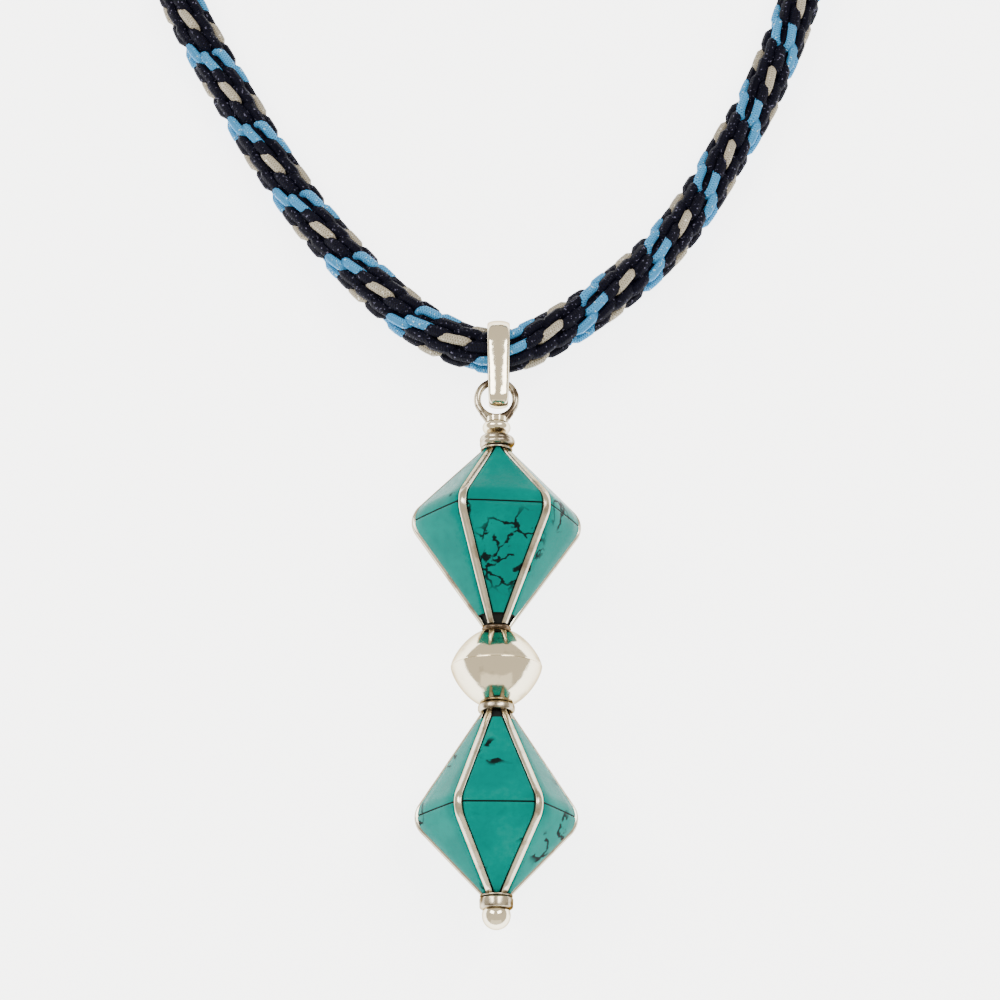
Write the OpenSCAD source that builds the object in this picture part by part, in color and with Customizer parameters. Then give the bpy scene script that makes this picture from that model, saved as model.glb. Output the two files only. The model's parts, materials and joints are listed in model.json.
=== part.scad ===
// Turning-wheel pendant on a braided neck cord, lying on a flat surface.
// X runs across the pendant, Y along its axis toward the bail, Z up.
// The origin is on the surface, under the middle of the pendant.

/* [Upper wheel] */
// Radius of the upper wheel over its six corners
upper_r = 8.5; // [7.8:0.1:9]
// Length of the upper wheel from its widest ring to its bail end
upper_top_len = 7.85; // [7:0.05:9]
// Length of the upper wheel from its widest ring to its waist end
upper_bottom_len = 10.55; // [9:0.05:12]
// Angle the upper wheel is turned on its pin, from a flat facing straight up
upper_turn = 6.5; // [0:0.5:15]

/* [Lower wheel] */
// Radius of the lower wheel over its six corners
lower_r = 7.9; // [7.2:0.1:8.3]
// Length of the lower wheel from its widest ring to its waist end
lower_top_len = 10.5; // [9:0.05:12]
// Length of the lower wheel from its widest ring to its finial end
lower_bottom_len = 7.55; // [7:0.05:9]
// Angle the lower wheel is turned on its pin, from a flat facing straight up
lower_turn = 2; // [0:0.5:15]

/* [Inlay] */
// Width of each silver rib
rib_w = 0.8; // [0.6:0.05:0.9]
// Height of the stones' faces above the flats of the six-sided wheel
stone_swell = 0.06; // [0:0.01:0.08]
// Radius of the rounded edge round a wheel's widest ring
edge_r = 2.2; // [1.5:0.1:3]
// Radius of the corners where the ribs end, at both tips of a wheel
tip_r = 1.5; // [1.45:0.05:1.8]
// Depth of the inlay at a corner of the widest ring
inlay_depth = 1.9; // [1.5:0.1:2.5]
// Width of a glue line beside a stone or between two stones
glue_gap = 0.02; // [0.01:0.01:0.04]

/* [Waist bead] */
// Radius of the hollow bead between the wheels
waist_r = 4.5; // [4:0.1:5]
// Height of the bead's dome on the bail side
waist_top_h = 3.55; // [3:0.05:4.5]
// Height of the bead's dome on the finial side
waist_bottom_h = 3.7; // [3:0.05:4.5]
// Thickness of the bead's silver wall
waist_wall = 0.4; // [0.3:0.05:0.6]

/* [Pin, eye and finial] */
// Radius of the head pin that the beads turn on
pin_r = 0.6; // [0.5:0.05:0.65]
// Radial play between the pin and each bead
pin_play = 0.05; // [0.03:0.01:0.1]
// Play along the pin between neighbouring beads
end_play = 0.05; // [0.03:0.01:0.1]
// Outside radius of the eye bent at the top of the pin
eye_r = 2.3; // [2.2:0.05:2.5]
// Radius of the eye's wire
eye_wire_r = 0.36; // [0.3:0.02:0.4]
// Outside radius of the wire wound round the neck
wrap_r = 1.86; // [1.5:0.02:1.9]
// Length of the wound wire along the neck
wrap_h = 1.3; // [1.2:0.05:1.5]
// Radius of the small ball above the wound wire
neck_ball_r = 1.45; // [1.2:0.01:1.5]
// Radius of the ball at the end of the finial
finial_ball_r = 1.38; // [1.2:0.01:1.6]
// Outside radius of the cup above that ball
finial_cup_r = 1.64; // [1.5:0.01:1.9]
// Length of that cup
finial_cup_h = 1.15; // [0.9:0.05:1.4]

/* [Bail] */
// Width of the bail's band
bail_w = 2.3; // [1.8:0.05:2.4]
// Thickness of the band
bail_t = 0.55; // [0.4:0.05:0.7]
// Distance that the bail has slid sideways along the eye
bail_shift = 0.2; // [0:0.05:0.3]
// Play between the cord and the inside of the bail
bail_play = 0.15; // [0.1:0.05:0.3]
// Radius inside the bail's small end
bail_small_r = 0.75; // [0.7:0.05:0.8]

/* [Neck cord] */
// Diameter of the braided cord
cord_d = 4.7; // [4.5:0.1:4.8]
// Height of the cord's middle where it passes through the bail
cord_bail_z = 6.5; // [5.8:0.1:6.8]
// Radius from the middle of the coil to the middle of the cord
coil_r = 28; // [27:0.5:29]
// Outside radius of the end caps
cap_r = 3.05; // [3:0.05:3.4]
// Length of the end caps
cap_len = 8; // [7:0.5:10]
// Radius of the hole in the clasp's eye
clasp_hole_r = 1.5; // [1.2:0.1:1.7]

/* [Hidden] */
SIDES = 6;
COS30 = cos(180 / SIDES);
SIN30 = sin(180 / SIDES);
EDGE_STEPS = 4;
DOME_STEPS = 8;
CORD_SIDES = 10;
$fn = 64;

// Wheel, shared sizes
bore_r = pin_r + pin_play;
bush_r = bore_r + 0.3;
core_tip_r = tip_r - 0.25;

// Collars at the tips of the wheels, each [radius, thickness]
upper_top_collar = [1.62, 0.25];
upper_bottom_collar = [1.45, 0.6];
lower_top_collar = [1.82, 0.85];
lower_bottom_collar = [1.6, 0.2];

// Stack along the axis, from the lowest point of the finial's ball up to the eye.
// Each value is a distance from that point; the ball ends flat where the cup begins.
ball_cut_h = 1.93;
cup_top = ball_cut_h + finial_cup_h;
lower_wheel_base = cup_top + end_play;
lower_mid = lower_wheel_base + lower_bottom_collar[1] + lower_bottom_len;
lower_wheel_top = lower_mid + lower_top_len + lower_top_collar[1];
waist_base = lower_wheel_top + end_play;
waist_mid = waist_base + waist_bottom_h;
waist_top = waist_mid + waist_top_h;
upper_wheel_base = waist_top + end_play;
upper_mid = upper_wheel_base + upper_bottom_collar[1] + upper_bottom_len;
upper_wheel_top = upper_mid + upper_top_len + upper_top_collar[1];
wrap_base = upper_wheel_top + end_play;
wrap_top = wrap_base + wrap_h;
neck_gap = 0.3;
neck_ball_h = 1.26;
neck_ball_mid = wrap_top + neck_gap + neck_ball_h / 2;
eye_gap = 0.17;
eye_mid = neck_ball_mid + neck_ball_h / 2 + eye_gap + eye_r;
pin_foot = finial_ball_r;
cup_edge = 0.25;
cup_edge_h = 0.3;
waist_end_r = 1.5;
waist_bulge = 1.4;

// Bail: its big end holds the cord, its small end the eye
bail_big_r = cord_d / 2 + bail_play;
bail_small_mid = eye_mid + 0.35;
bail_reach = 5.6;
cord_at_bail = bail_small_mid + bail_reach;
pendant_len = cord_at_bail + bail_big_r + bail_t;

// The axis lies as high as the upper wheel's lowest rib holds it
low_rib_turn = 180 / SIDES - upper_turn;
axis_z = upper_r * cos(low_rib_turn) + rib_w / 2 * sin(low_rib_turn);

// The bail slopes from the eye down to the cord
bail_tilt = atan2(cord_bail_z - axis_z, bail_reach);
bail_len = norm([bail_reach, cord_bail_z - axis_z]);

// Place along Y of a point that is d above the lowest point of the finial
function along(d) = d - pendant_len / 2;

// Route of the neck cord, from the coil round the bail and back to the coil
cord_z = cord_d / 2;
coil_y = 105;
bail_y = along(cord_at_bail);
left_route = [
    [-28, coil_y, cord_z], [-28.8, 100.5, cord_z], [-31.3, 95, cord_z], [-34.4, 89, cord_z],
    [-36, 82.5, cord_z], [-35.6, 76, cord_z], [-33.2, 69, cord_z], [-29.1, 61.3, cord_z],
    [-25.5, 54.7, 2.4], [-20.3, 46.3, 2.8], [-15, 39.3, 3.9], [-9, 32.8, 5.4], [-4, 29.4, 6.3]
];
middle_route = [[-1.3, bail_y, cord_bail_z], [1.3, bail_y, cord_bail_z]];
right_route = [
    [4, 29.6, 6.3], [9.6, 33.6, 5.4], [15.3, 39, 3.9], [20, 45, 2.8], [24.3, 52.4, 2.4],
    [28.4, 60, cord_z], [32, 69, cord_z], [34.2, 76, 2.4], [34.8, 82.5, 2.8], [33.8, 89, 4.2],
    [31.2, 95, 5.8], [28.8, 100.5, 6.9], [28, coil_y, cord_z + cord_d]
];

// Ends of the cord: an arc of the coil's circle, then points to the end cap
eye_cap_mouth = [10, 81.4, cap_r];
hook_cap_mouth = [-15.5, 82.1, cap_r];
eye_tail_route = concat(
    [for (a = [0:-9:-45]) [coil_r * cos(a), coil_y + coil_r * sin(a), cord_z]],
    [[15.5, 82.5, 2.7], eye_cap_mouth, [4.5, 81.6, cap_r]]
);
hook_tail_route = concat(
    [for (i = [0:5]) [-coil_r * cos(9 * i), coil_y - coil_r * sin(9 * i), hook_tail_z(i)]],
    [hook_cap_mouth, [-10.3, 80.2, cap_r]]
);
function hook_tail_z(i) = cap_r + (cord_z + cord_d - cap_r) * (1 + cos(36 * i)) / 2;

// End caps: a cup for the cord, a floor, then a cone down to the hook or the eye
cup_depth = 5.5;
cup_play = 0.1;
cap_floor = 1;
cap_tip_r = 1;
cap_tip_x = cap_len - cup_depth;
clasp_eye_t = 1.2;
clasp_eye_rim = 1.1;
clasp_eye_x = cap_tip_x + 2.1;
hook_wire_r = 0.55;
hook_bend_r = 1.9;
hook_turn = 230;
hook_root = 0.6;

// ---------- shared shapes ----------

// Children are drawn about Z and laid along the pendant's axis at stack height d
module on_axis(d) {
    translate([0, along(d), axis_z]) rotate([-90, 0, 0]) children();
}

module ring(r, bore, h) {
    difference() {
        cylinder(r = r, h = h);
        translate([0, 0, -1]) cylinder(r = bore, h = h + 2);
    }
}

function arc(mid, r, from, to, steps) =
    [for (i = [0:steps]) let (a = from + (to - from) * i / steps) mid + r * [cos(a), sin(a)]];

// Angle that the rounded edge turns through before a straight flank begins
function edge_turn(len, r) =
    let (drop = r - edge_r - tip_r)
    90 + atan(drop / len) - acos(edge_r / norm([len, drop]));

// Corner line of one half of a wheel: [distance from the widest ring, radius]
function flank(len, r) = concat(
    [for (i = [0:EDGE_STEPS]) let (a = edge_turn(len, r) * i / EDGE_STEPS)
        [edge_r * sin(a), r - edge_r + edge_r * cos(a)]],
    [[len, tip_r]]
);

function core_mid_r(r) = r - inlay_depth;
function core_r(s, len, r) = core_mid_r(r) + (core_tip_r - core_mid_r(r)) * s / len;

// Half the width of a stone whose face is d from the axis, between two ribs
function stone_half(d) = (d * SIN30 - rib_w / 2 - glue_gap) / COS30;

// Four corners of a stone at one point of the flank, outer face first
function stone_section(p, len, r) =
    let (outer = p[1] * COS30 + stone_swell, inner = core_r(p[0], len, r) * COS30 + glue_gap)
    let (z = p[0] + glue_gap)
    [[outer, -stone_half(outer), z], [outer, stone_half(outer), z],
     [inner, stone_half(inner), z], [inner, -stone_half(inner), z]];

// Flat caps and side walls of a body lofted through rings of n points
function loft_faces(rings, n) = concat(
    [[for (i = [0:n - 1]) i]],
    [[for (i = [n - 1:-1:0]) (rings - 1) * n + i]],
    [for (k = [0:rings - 2]) for (i = [0:n - 1])
        [k * n + i, (k + 1) * n + i, (k + 1) * n + (i + 1) % n, k * n + (i + 1) % n]]
);

// One stone of the half of a wheel that points along +Z
module stone(len, r) {
    line = flank(len, r);
    polyhedron(
        points = [for (p = line) each stone_section(p, len, r)],
        faces = loft_faces(len(line), 4)
    );
}

// One rib: a plate that follows the corner line over both halves
module rib(top_len, bottom_len, r) {
    top = flank(top_len, r);
    bottom = flank(bottom_len, r);
    core_line = [[core_tip_r, -bottom_len], [core_mid_r(r), 0], [core_tip_r, top_len]];
    outline = concat(
        [for (i = [len(top) - 1:-1:0]) [top[i][1], top[i][0]]],
        [for (i = [1:len(bottom) - 1]) [bottom[i][1], -bottom[i][0]]],
        [for (p = core_line) p + [glue_gap, 0]]
    );
    rotate([90, 0, 0]) linear_extrude(rib_w, center = true) polygon(outline);
}

// Six-sided resin core that the stones and ribs are glued to
module core(top_len, bottom_len, r) {
    difference() {
        union() {
            cylinder(r1 = core_mid_r(r), r2 = core_tip_r, h = top_len, $fn = SIDES);
            mirror([0, 0, 1])
                cylinder(r1 = core_mid_r(r), r2 = core_tip_r, h = bottom_len, $fn = SIDES);
        }
        translate([0, 0, -bottom_len - 1])
            cylinder(r = bush_r + glue_gap, h = top_len + bottom_len + 2);
    }
}

// Tube swept along a route; no part of a route runs straight up
function unit(v) = v / norm(v);
function heading(route, i) =
    unit(route[min(i + 1, len(route) - 1)] - route[max(i - 1, 0)]);
function cord_ring(mid, dir, r) =
    let (side = unit(cross(dir, [0, 0, 1])), up = cross(side, dir))
    [for (k = [0:CORD_SIDES - 1]) let (a = 360 * k / CORD_SIDES)
        mid + r * (cos(a) * side + sin(a) * up)];

module tube(route, first_dir, last_dir) {
    last = len(route) - 1;
    dirs = [for (i = [0:last]) i == 0 ? first_dir : i == last ? last_dir : heading(route, i)];
    polyhedron(
        points = [for (i = [0:last]) each cord_ring(route[i], dirs[i], cord_d / 2)],
        faces = loft_faces(last + 1, CORD_SIDES)
    );
}

// ---------- neck cord and clasp ----------

neck_route = concat(left_route, middle_route, right_route);

module neck_cord() {
    color([0.08, 0.09, 0.16]) tube(neck_route, [0, -1, 0], [0, 1, 0]);
}

// The half circle where the two ends of the cord lie one on the other
module cord_coil() {
    color([0.1, 0.11, 0.2]) translate([0, coil_y, 0]) rotate_extrude(angle = 180)
        translate([coil_r, 0]) {
            translate([0, cord_z]) circle(r = cord_d / 2);
            translate([0, cord_z + cord_d]) circle(r = cord_d / 2);
            translate([-cord_d / 2, cord_z]) square([cord_d, cord_d]);
        }
}

module eye_tail() {
    last = len(eye_tail_route) - 1;
    color([0.08, 0.09, 0.16]) tube(eye_tail_route, [0, -1, 0], heading(eye_tail_route, last));
}

module hook_tail() {
    last = len(hook_tail_route) - 1;
    color([0.08, 0.09, 0.16]) tube(hook_tail_route, [0, -1, 0], heading(hook_tail_route, last));
}

// Children are drawn with the cord coming in along +X from the origin
module at_cord_end(route) {
    last = len(route) - 1;
    dir = heading(route, last);
    translate(route[last]) rotate([0, 0, atan2(dir[1], dir[0])]) children();
}

// Cup that the cord's end is glued into, with its floor just past the cord
module end_cup() {
    cone_x = cup_play + cap_floor;
    rotate([0, 90, 0]) {
        translate([0, 0, -cup_depth]) ring(cap_r, cord_d / 2 + cup_play, cup_depth + cup_play);
        translate([0, 0, cup_play]) cylinder(r = cap_r, h = cap_floor);
        translate([0, 0, cone_x]) cylinder(r1 = cap_r, r2 = cap_tip_r, h = cap_tip_x - cone_x);
    }
}

module eye_cap() {
    color([0.85, 0.84, 0.8]) at_cord_end(eye_tail_route) difference() {
        union() {
            end_cup();
            translate([clasp_eye_x, 0, -clasp_eye_t / 2])
                cylinder(r = clasp_hole_r + clasp_eye_rim, h = clasp_eye_t);
        }
        translate([clasp_eye_x, 0, -clasp_eye_t]) cylinder(r = clasp_hole_r, h = clasp_eye_t * 2);
    }
}

// The hook is an open ring of round wire, lying flat
module hook_cap() {
    color([0.85, 0.84, 0.8]) at_cord_end(hook_tail_route) {
        end_cup();
        translate([cap_tip_x - hook_root, 0, 0]) rotate([0, 90, 0])
            cylinder(r = hook_wire_r, h = 2 * hook_root);
        translate([cap_tip_x + hook_root, hook_bend_r, 0]) rotate([0, 0, -90])
            rotate_extrude(angle = hook_turn) translate([hook_bend_r, 0]) circle(r = hook_wire_r);
    }
}

// ---------- bail ----------

// Outline round a small circle at the origin and a big one at [bail_len, 0]
function bail_outline(small, big) =
    let (a = acos((small - big) / bail_len))
    concat(arc([bail_len, 0], big, -a, a, 16), arc([0, 0], small, a, 360 - a, 12));

module bail() {
    color([0.86, 0.85, 0.82]) translate([bail_shift, along(bail_small_mid), axis_z])
        rotate([bail_tilt, 0, 0]) rotate([90, 0, 90]) linear_extrude(bail_w, center = true)
        difference() {
            polygon(bail_outline(bail_small_r + bail_t, bail_big_r + bail_t));
            polygon(bail_outline(bail_small_r, bail_big_r));
        }
}

// ---------- pin, eye and finial ----------

// The pin and its eye are one piece of wire
module head_pin() {
    color([0.84, 0.82, 0.78]) {
        on_axis(pin_foot) cylinder(r = pin_r, h = eye_mid - eye_r + eye_wire_r - pin_foot);
        translate([0, along(eye_mid), axis_z]) rotate_extrude()
            translate([eye_r - eye_wire_r, 0]) circle(r = eye_wire_r);
    }
}

module neck_ball() {
    color([0.86, 0.85, 0.82]) on_axis(neck_ball_mid) difference() {
        intersection() {
            sphere(r = neck_ball_r);
            cube([4, 4, neck_ball_h], center = true);
        }
        cylinder(r = pin_r, h = 4, center = true);
    }
}

// Two turns of wire wound tight round the neck
module neck_wrap() {
    turn_r = wrap_h / 4;
    color([0.84, 0.82, 0.78]) on_axis(wrap_base) rotate_extrude() {
        translate([pin_r, 0]) square([wrap_r - turn_r - pin_r, wrap_h]);
        for (z = [turn_r, wrap_h - turn_r]) translate([wrap_r - turn_r, z]) circle(r = turn_r);
    }
}

module finial_cup() {
    color([0.86, 0.85, 0.82]) on_axis(ball_cut_h) difference() {
        union() {
            cylinder(r1 = finial_cup_r - cup_edge, r2 = finial_cup_r, h = cup_edge_h);
            translate([0, 0, cup_edge_h]) cylinder(r = finial_cup_r, h = finial_cup_h - cup_edge_h);
        }
        cylinder(r = pin_r, h = 9, center = true);
    }
}

module finial_ball() {
    color([0.86, 0.85, 0.82]) on_axis(0) difference() {
        translate([0, 0, finial_ball_r]) sphere(r = finial_ball_r);
        translate([-3, -3, ball_cut_h]) cube(6);
        translate([0, 0, finial_ball_r]) cylinder(r = pin_r, h = 3);
    }
}

// ---------- waist bead ----------

// Half outline of a dome wall from its seam at z = 0 up to its end at z = h
function dome_line(r, end_r, h, bulge) =
    [for (i = [0:DOME_STEPS]) let (a = 90 * i / DOME_STEPS)
        [end_r + (r - end_r) * pow(cos(a), bulge), h * pow(sin(a), bulge)]];

module dome(h, bulge) {
    outer = dome_line(waist_r, waist_end_r, h, bulge);
    inner = dome_line(waist_r - waist_wall, waist_end_r - waist_wall, h - waist_wall, bulge);
    rotate_extrude() polygon(concat(
        outer, [[bore_r, h], [bore_r, h - waist_wall]],
        [for (i = [DOME_STEPS:-1:0]) inner[i]]
    ));
}

module waist_upper_dome() {
    color([0.88, 0.87, 0.84]) on_axis(waist_mid) dome(waist_top_h, waist_bulge);
}

module waist_lower_dome() {
    color([0.86, 0.85, 0.82]) on_axis(waist_mid) mirror([0, 0, 1]) dome(waist_bottom_h, waist_bulge);
}

// ---------- wheels ----------

// Each wheel: [middle, length to the bail end, length to the finial end, radius, turn]
UPPER = [upper_mid, upper_top_len, upper_bottom_len, upper_r, upper_turn];
LOWER = [lower_mid, lower_top_len, lower_bottom_len, lower_r, lower_turn];

module wheel_rib(wheel, i) {
    color([0.85, 0.83, 0.78]) on_axis(wheel[0]) rotate([0, 0, 60 * (i - 1) + wheel[4]])
        rib(wheel[1], wheel[2], wheel[3]);
}

module wheel_top_stone(wheel, i) {
    color([0.05, 0.6, 0.57]) on_axis(wheel[0]) rotate([0, 0, 60 * (i - 1) + 30 + wheel[4]])
        stone(wheel[1], wheel[3]);
}

module wheel_bottom_stone(wheel, i) {
    color([0.05, 0.6, 0.57]) on_axis(wheel[0]) rotate([0, 0, 60 * (i - 1) + 30 + wheel[4]])
        mirror([0, 0, 1]) stone(wheel[2], wheel[3]);
}

module wheel_core(wheel) {
    color([0.1, 0.1, 0.1]) on_axis(wheel[0]) rotate([0, 0, wheel[4]])
        core(wheel[1], wheel[2], wheel[3]);
}

// Bush that the wheel turns on, as long as the core
module wheel_bush(wheel) {
    color([0.7, 0.68, 0.62]) on_axis(wheel[0] - wheel[2]) ring(bush_r, bore_r, wheel[1] + wheel[2]);
}

module collar(base, size) {
    color([0.84, 0.82, 0.78]) on_axis(base) ring(size[0], bore_r, size[1]);
}

neck_cord();
cord_coil();
eye_tail();
hook_tail();
eye_cap();
hook_cap();
bail();
head_pin();
neck_ball();
neck_wrap();
finial_cup();
finial_ball();
waist_upper_dome();
waist_lower_dome();

wheel_core(UPPER);  // upper_core
wheel_bush(UPPER);  // upper_bush
collar(upper_mid + upper_top_len, upper_top_collar);
collar(upper_wheel_base, upper_bottom_collar);
wheel_core(LOWER);  // lower_core
wheel_bush(LOWER);  // lower_bush
collar(lower_mid + lower_top_len, lower_top_collar);
collar(lower_wheel_base, lower_bottom_collar);

for (i = [1:SIDES]) {
    wheel_rib(UPPER, i);
    wheel_rib(LOWER, i);
    wheel_top_stone(UPPER, i);
    wheel_bottom_stone(UPPER, i);
    wheel_top_stone(LOWER, i);
    wheel_bottom_stone(LOWER, i);
}
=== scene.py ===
"""Turning-wheel pendant on a braided neck cord, lying on a pale table."""
import json
import math

import bmesh
import bpy
import numpy as np
from mathutils import Matrix, Vector


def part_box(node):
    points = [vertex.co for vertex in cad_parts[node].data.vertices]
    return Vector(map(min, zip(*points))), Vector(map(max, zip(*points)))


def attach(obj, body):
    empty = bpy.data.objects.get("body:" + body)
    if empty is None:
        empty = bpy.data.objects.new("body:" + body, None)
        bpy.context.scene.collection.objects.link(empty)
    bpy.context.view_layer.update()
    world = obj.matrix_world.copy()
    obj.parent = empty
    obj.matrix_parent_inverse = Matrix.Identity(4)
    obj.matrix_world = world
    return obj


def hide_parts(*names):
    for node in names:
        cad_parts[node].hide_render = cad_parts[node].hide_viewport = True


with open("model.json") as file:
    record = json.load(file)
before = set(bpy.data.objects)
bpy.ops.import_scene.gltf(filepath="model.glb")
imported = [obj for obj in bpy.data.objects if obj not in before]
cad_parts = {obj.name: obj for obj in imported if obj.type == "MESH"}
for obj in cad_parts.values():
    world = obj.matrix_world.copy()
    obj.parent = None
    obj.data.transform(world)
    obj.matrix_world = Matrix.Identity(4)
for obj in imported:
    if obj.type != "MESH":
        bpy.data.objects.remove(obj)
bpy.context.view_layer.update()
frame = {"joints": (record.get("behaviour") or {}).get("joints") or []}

MM = 0.001


# ---------------------------------------------------------------- sizes, in millimetres

SIDES = 6
EDGE_R = 2.2            # rounded edge round a wheel's widest ring
TIP_R = 1.5             # corner radius at a wheel's tips
CORE_TIP_R = 1.25
INLAY_DEPTH = 1.9
RIB_W = 0.8
STONE_SWELL = 0.06      # rise of a stone's face above the wheel's flats
WAIST_END = 9.0         # halves longer than this point to the waist; their stones stop short
GLUE_LINE = 0.12        # black line between a stone and a rib
PIN_R = 0.6
BORE_R = 0.65
WIRE_R = 0.36
SEAM = 0.03             # half the black line where the two halves of a wheel meet
EYE_R = 2.3             # outside of the wire eye
WRAP_R = 1.86           # outside of the wire wound round the neck
BALL_R = 1.38           # finial ball
WAIST_R = 4.5           # waist bead at its seam
WAIST_WALL = 0.4
CORD_D = 4.7
BRAID_ROW = 2.46        # distance along the cord from one float of a strand to its next
BRAID_START = 3.0       # where the first cream float comes, in rows
STRAND_R = 0.60         # navy strands, which fill the surface
BRIGHT_R = 0.49         # light blue and cream strands
LEAN = 9.0              # half the turn that a float makes about the cord, in degrees
HEART_R = 1.35          # dark heart that the strands are braided over

PIVOT = {j["name"]: Vector(j["pos_m"]) / MM for j in frame["joints"]}
AXIS_Z = PIVOT["upper_wheel_spin"].z
UPPER = {"mid": PIVOT["upper_wheel_spin"].y, "r": 8.5, "top": 7.85, "bottom": 10.55,
         "turn": math.radians(6.5)}
LOWER = {"mid": PIVOT["lower_wheel_spin"].y, "r": 7.9, "top": 10.5, "bottom": 7.55,
         "turn": math.radians(2)}
WAIST_MID = PIVOT["waist_bead_spin"].y


def span(node):
    """Lowest and highest place of a node along the pendant, in millimetres."""
    low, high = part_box(node)
    return low[1] / MM, high[1] / MM


# ---------------------------------------------------------------- camera

CAMERA_TILT = math.radians(19.5)
CAMERA_AWAY = 300.0
VIEW_WIDTH = 100.0
AIM = Vector((0.35, 11.8, AXIS_Z))

camera_data = bpy.data.cameras.new("camera")
camera_data.sensor_width = 36
camera_data.lens = 36 * CAMERA_AWAY / VIEW_WIDTH
camera = bpy.data.objects.new("camera", camera_data)
bpy.context.scene.collection.objects.link(camera)
camera.location = (AIM + CAMERA_AWAY * Vector((0, -math.sin(CAMERA_TILT), math.cos(CAMERA_TILT)))) * MM
camera.rotation_euler = (CAMERA_TILT, 0, 0)
bpy.context.scene.camera = camera


# ---------------------------------------------------------------- shader maths

class Shade:
    """A socket in a material's tree; operators on it add Math nodes."""

    def __init__(self, tree, socket):
        self.tree = tree
        self.socket = socket

    def node(self, kind, settings=None, inputs=None, out=0):
        """Add a node, set it up first, then fill its sockets with values or links."""
        new = self.tree.nodes.new(kind)
        for key, value in (settings or {}).items():
            setattr(new, key, value)
        for key, value in (inputs or {}).items():
            if isinstance(value, Shade):
                self.tree.links.new(value.socket, new.inputs[key])
            else:
                new.inputs[key].default_value = value
        return Shade(self.tree, new.outputs[out])

    def math(self, operation, other=0.0):
        return self.node("ShaderNodeMath", {"operation": operation}, {0: self, 1: other})

    def __add__(self, other):
        return self.math("ADD", other)

    __radd__ = __add__

    def __sub__(self, other):
        return self.math("SUBTRACT", other)

    def __rsub__(self, other):
        return self.math("MULTIPLY", -1.0).math("ADD", other)

    def __mul__(self, other):
        return self.math("MULTIPLY", other)

    __rmul__ = __mul__

    def hump(self):
        """A ridge over each unit of a growing value: 1 in the middle, 0 at both ends."""
        return 1 - 2 * (self.math("FRACT") - 0.5).math("ABSOLUTE")

    def step(self, low, high):
        """0 below low, 1 above high, smooth between."""
        return self.node("ShaderNodeMapRange", {"interpolation_type": "SMOOTHSTEP"},
                         {"Value": self, "From Min": low, "From Max": high})

    def mix(self, first, second):
        """Colour between first and second, by this value."""
        ends = [c if isinstance(c, Shade) else (*c, 1) for c in (first, second)]
        return self.node("ShaderNodeMix", {"data_type": "RGBA"},
                         {0: self, 6: ends[0], 7: ends[1]}, out=2)


def material(name, **constants):
    """A new material: its shader with constants set, and a Shade on object coordinates."""
    mat = bpy.data.materials.new(name)
    mat.use_nodes = True
    shader = mat.node_tree.nodes["Principled BSDF"]
    for key, value in constants.items():
        shader.inputs[key.replace("_", " ")].default_value = value
    coords = mat.node_tree.nodes.new("ShaderNodeTexCoord")
    return mat, shader, Shade(mat.node_tree, coords.outputs["Object"])


def noise(place, scale, detail=4.0, out=0, rough=0.5, stretch=None):
    """Noise with its scale in features per millimetre."""
    at = place
    if stretch:
        at = place.node("ShaderNodeMapping", inputs={"Vector": place, "Scale": stretch})
    return place.node("ShaderNodeTexNoise", inputs={
        "Vector": at, "Scale": scale / MM, "Detail": detail, "Roughness": rough}, out=out)


def feed(mat, shader, **links):
    """Link values to the shader's sockets of the same names."""
    for key, value in links.items():
        mat.node_tree.links.new(value.socket, shader.inputs[key.replace("_", " ")])


def bump(height, strength, distance_mm):
    """A normal bent by a height."""
    return height.node("ShaderNodeBump", inputs={
        "Height": height, "Strength": strength, "Distance": distance_mm * MM})


# ---------------------------------------------------------------- materials

def silver(name, bright, dull, polish, dent, age=0.5):
    """Worked silver: fine rubbing marks, soft dents and a trace of tarnish."""
    mat, shader, place = material(name, Metallic=1.0, Specular_Tint=(0.45, 0.38, 0.28, 1))
    rub = noise(place, 2.2, 6, rough=0.65, stretch=(6, 1, 6))
    cloud = noise(place, 0.5, 3)
    dents = noise(place, 0.45, 2)
    tarnish = cloud.step(age, age + 0.2)
    feed(mat, shader,
         Base_Color=tarnish.mix(bright, dull),
         Roughness=polish + 0.10 * rub.step(0.4, 0.8) + 0.08 * tarnish,
         Normal=bump(dents + 0.04 * rub, 0.6, dent))
    return mat


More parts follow.
